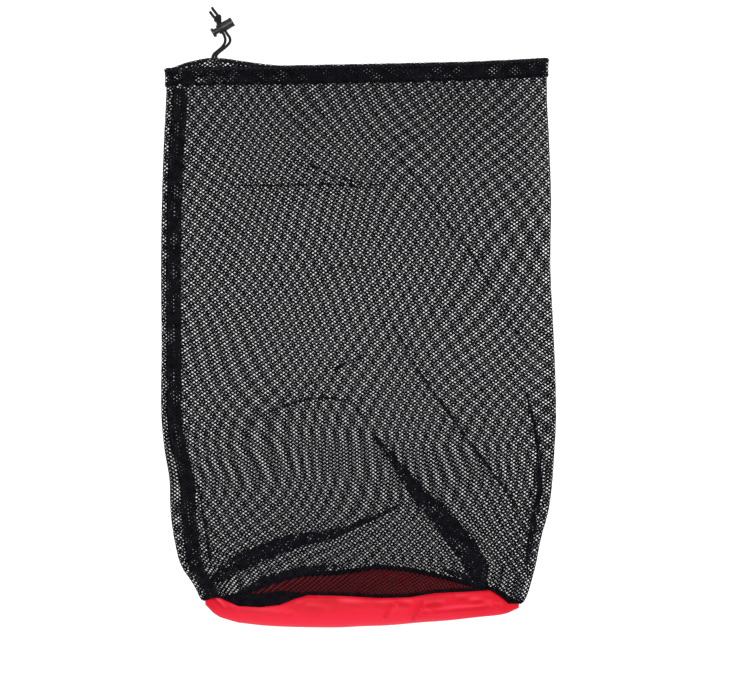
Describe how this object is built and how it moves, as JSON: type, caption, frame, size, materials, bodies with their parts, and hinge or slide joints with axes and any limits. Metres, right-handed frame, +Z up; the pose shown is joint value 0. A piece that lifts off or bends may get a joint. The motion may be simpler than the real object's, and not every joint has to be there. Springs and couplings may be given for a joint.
{
  "type": "mesh stuff sack",
  "caption": "Flat-lying drawstring sack of open black net with a turned-over hem, a side seam, a red woven base folded lengthways, and a knotted drawcord with a sprung cord lock.",
  "frame": {"origin": "middle of the sack's footprint, on the floor that its back wall lies on, leaving out the free drawcord and what is on it", "axes": "+X across the sack, away from its side seam; +Y along the sack, toward its mouth; +Z up, out of its front wall"},
  "size_m": [0.36, 0.5639, 0.0301],
  "materials": {
    "net": "knitted polyester net, matte",
    "hem": "doubled net, matte",
    "seam": "doubled net, matte",
    "base": "woven nylon with a slight sheen",
    "cord": "braided cord, matte",
    "lock": "moulded plastic, semi-gloss"
  },
  "bodies": {
    "sack": {"mesh_body": "net", "hem": "hem", "side_seam": "seam", "base_panel": "base", "base_seam_binding": "seam", "drawcord_in_hem": "cord", "drawcord_strand_1": "cord", "drawcord_strand_2": "cord", "drawcord_end_1": "cord", "drawcord_end_2": "cord", "end_knot": "cord", "cord_lock_barrel": "lock"},
    "plunger": {"cord_lock_plunger": "lock"}
  },
  "joints": [
    {"name": "plunger_press", "type": "slide", "parent": "sack", "child": "plunger", "axis": [0.8616, 0.5075, 0], "range_m": [0, 0.0025], "stiffness_N_per_m": 800, "springref_m": -0.002}
  ]
}
